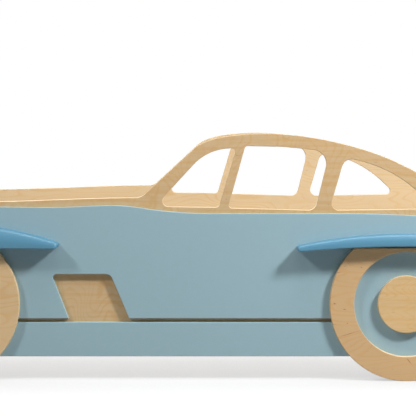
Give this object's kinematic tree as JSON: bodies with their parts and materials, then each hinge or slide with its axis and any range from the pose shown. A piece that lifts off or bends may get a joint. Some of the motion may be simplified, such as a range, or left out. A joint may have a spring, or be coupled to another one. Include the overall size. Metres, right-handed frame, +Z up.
{
  "type": "car bed for children",
  "caption": "Coupe-shaped child's bed with plywood side panels, painted side skins, fixed wheel rings and hubs, rounded mudguards and a slatted base.",
  "frame": {"origin": "on the floor, in the middle of the bed's length and width", "axes": "+X from the nose to the tail, +Y to the car's right-hand side, +Z up"},
  "size_m": [2.37, 1.09, 0.693],
  "materials": {
    "birch_plywood": "clear satin lacquer on birch plywood",
    "pine": "planed pine, bare",
    "skin_paint": "grey-blue satin paint on fibreboard",
    "mudguard_paint": "brighter blue satin paint on solid wood",
    "zinc_steel": "zinc plated",
    "brass_insert": "bare brass",
    "felt": "pressed felt pad"
  },
  "bodies": {
    "root": {"batten_screws": "zinc_steel", "board_bolts": "zinc_steel", "board_inserts": "brass_insert", "body_skin_left": "skin_paint", "body_skin_right": "skin_paint", "front_board": "birch_plywood", "front_corner_batten_left": "pine", "front_corner_batten_right": "pine", "front_floor_glide_left": "felt", "front_floor_glide_right": "felt", "front_mudguard_left": "mudguard_paint", "front_mudguard_right": "mudguard_paint", "front_wheel_hub_left": "birch_plywood", "front_wheel_hub_right": "birch_plywood", "front_wheel_ring_left": "birch_plywood", "front_wheel_ring_right": "birch_plywood", "mudguard_bolts_left": "zinc_steel", "mudguard_bolts_right": "zinc_steel", "mudguard_inserts_left": "brass_insert", "mudguard_inserts_right": "brass_insert", "rail_screws_left": "zinc_steel", "rail_screws_right": "zinc_steel", "rear_board": "birch_plywood", "rear_corner_batten_left": "pine", "rear_corner_batten_right": "pine", "rear_floor_glide_left": "felt", "rear_floor_glide_right": "felt", "rear_mudguard_left": "mudguard_paint", "rear_mudguard_right": "mudguard_paint", "rear_wheel_hub_left": "birch_plywood", "rear_wheel_hub_right": "birch_plywood", "rear_wheel_ring_left": "birch_plywood", "rear_wheel_ring_right": "birch_plywood", "side_panel_left": "birch_plywood", "side_panel_right": "birch_plywood", "skin_screws_left": "zinc_steel", "skin_screws_right": "zinc_steel", "slat_01": "pine", "slat_02": "pine", "slat_03": "pine", "slat_04": "pine", "slat_05": "pine", "slat_06": "pine", "slat_07": "pine", "slat_08": "pine", "slat_09": "pine", "slat_10": "pine", "slat_11": "pine", "slat_12": "pine", "slat_13": "pine", "slat_14": "pine", "slat_rail_left": "pine", "slat_rail_right": "pine", "slat_screws": "zinc_steel", "wheel_screws_left": "zinc_steel", "wheel_screws_right": "zinc_steel"}
  },
  "joints": []
}
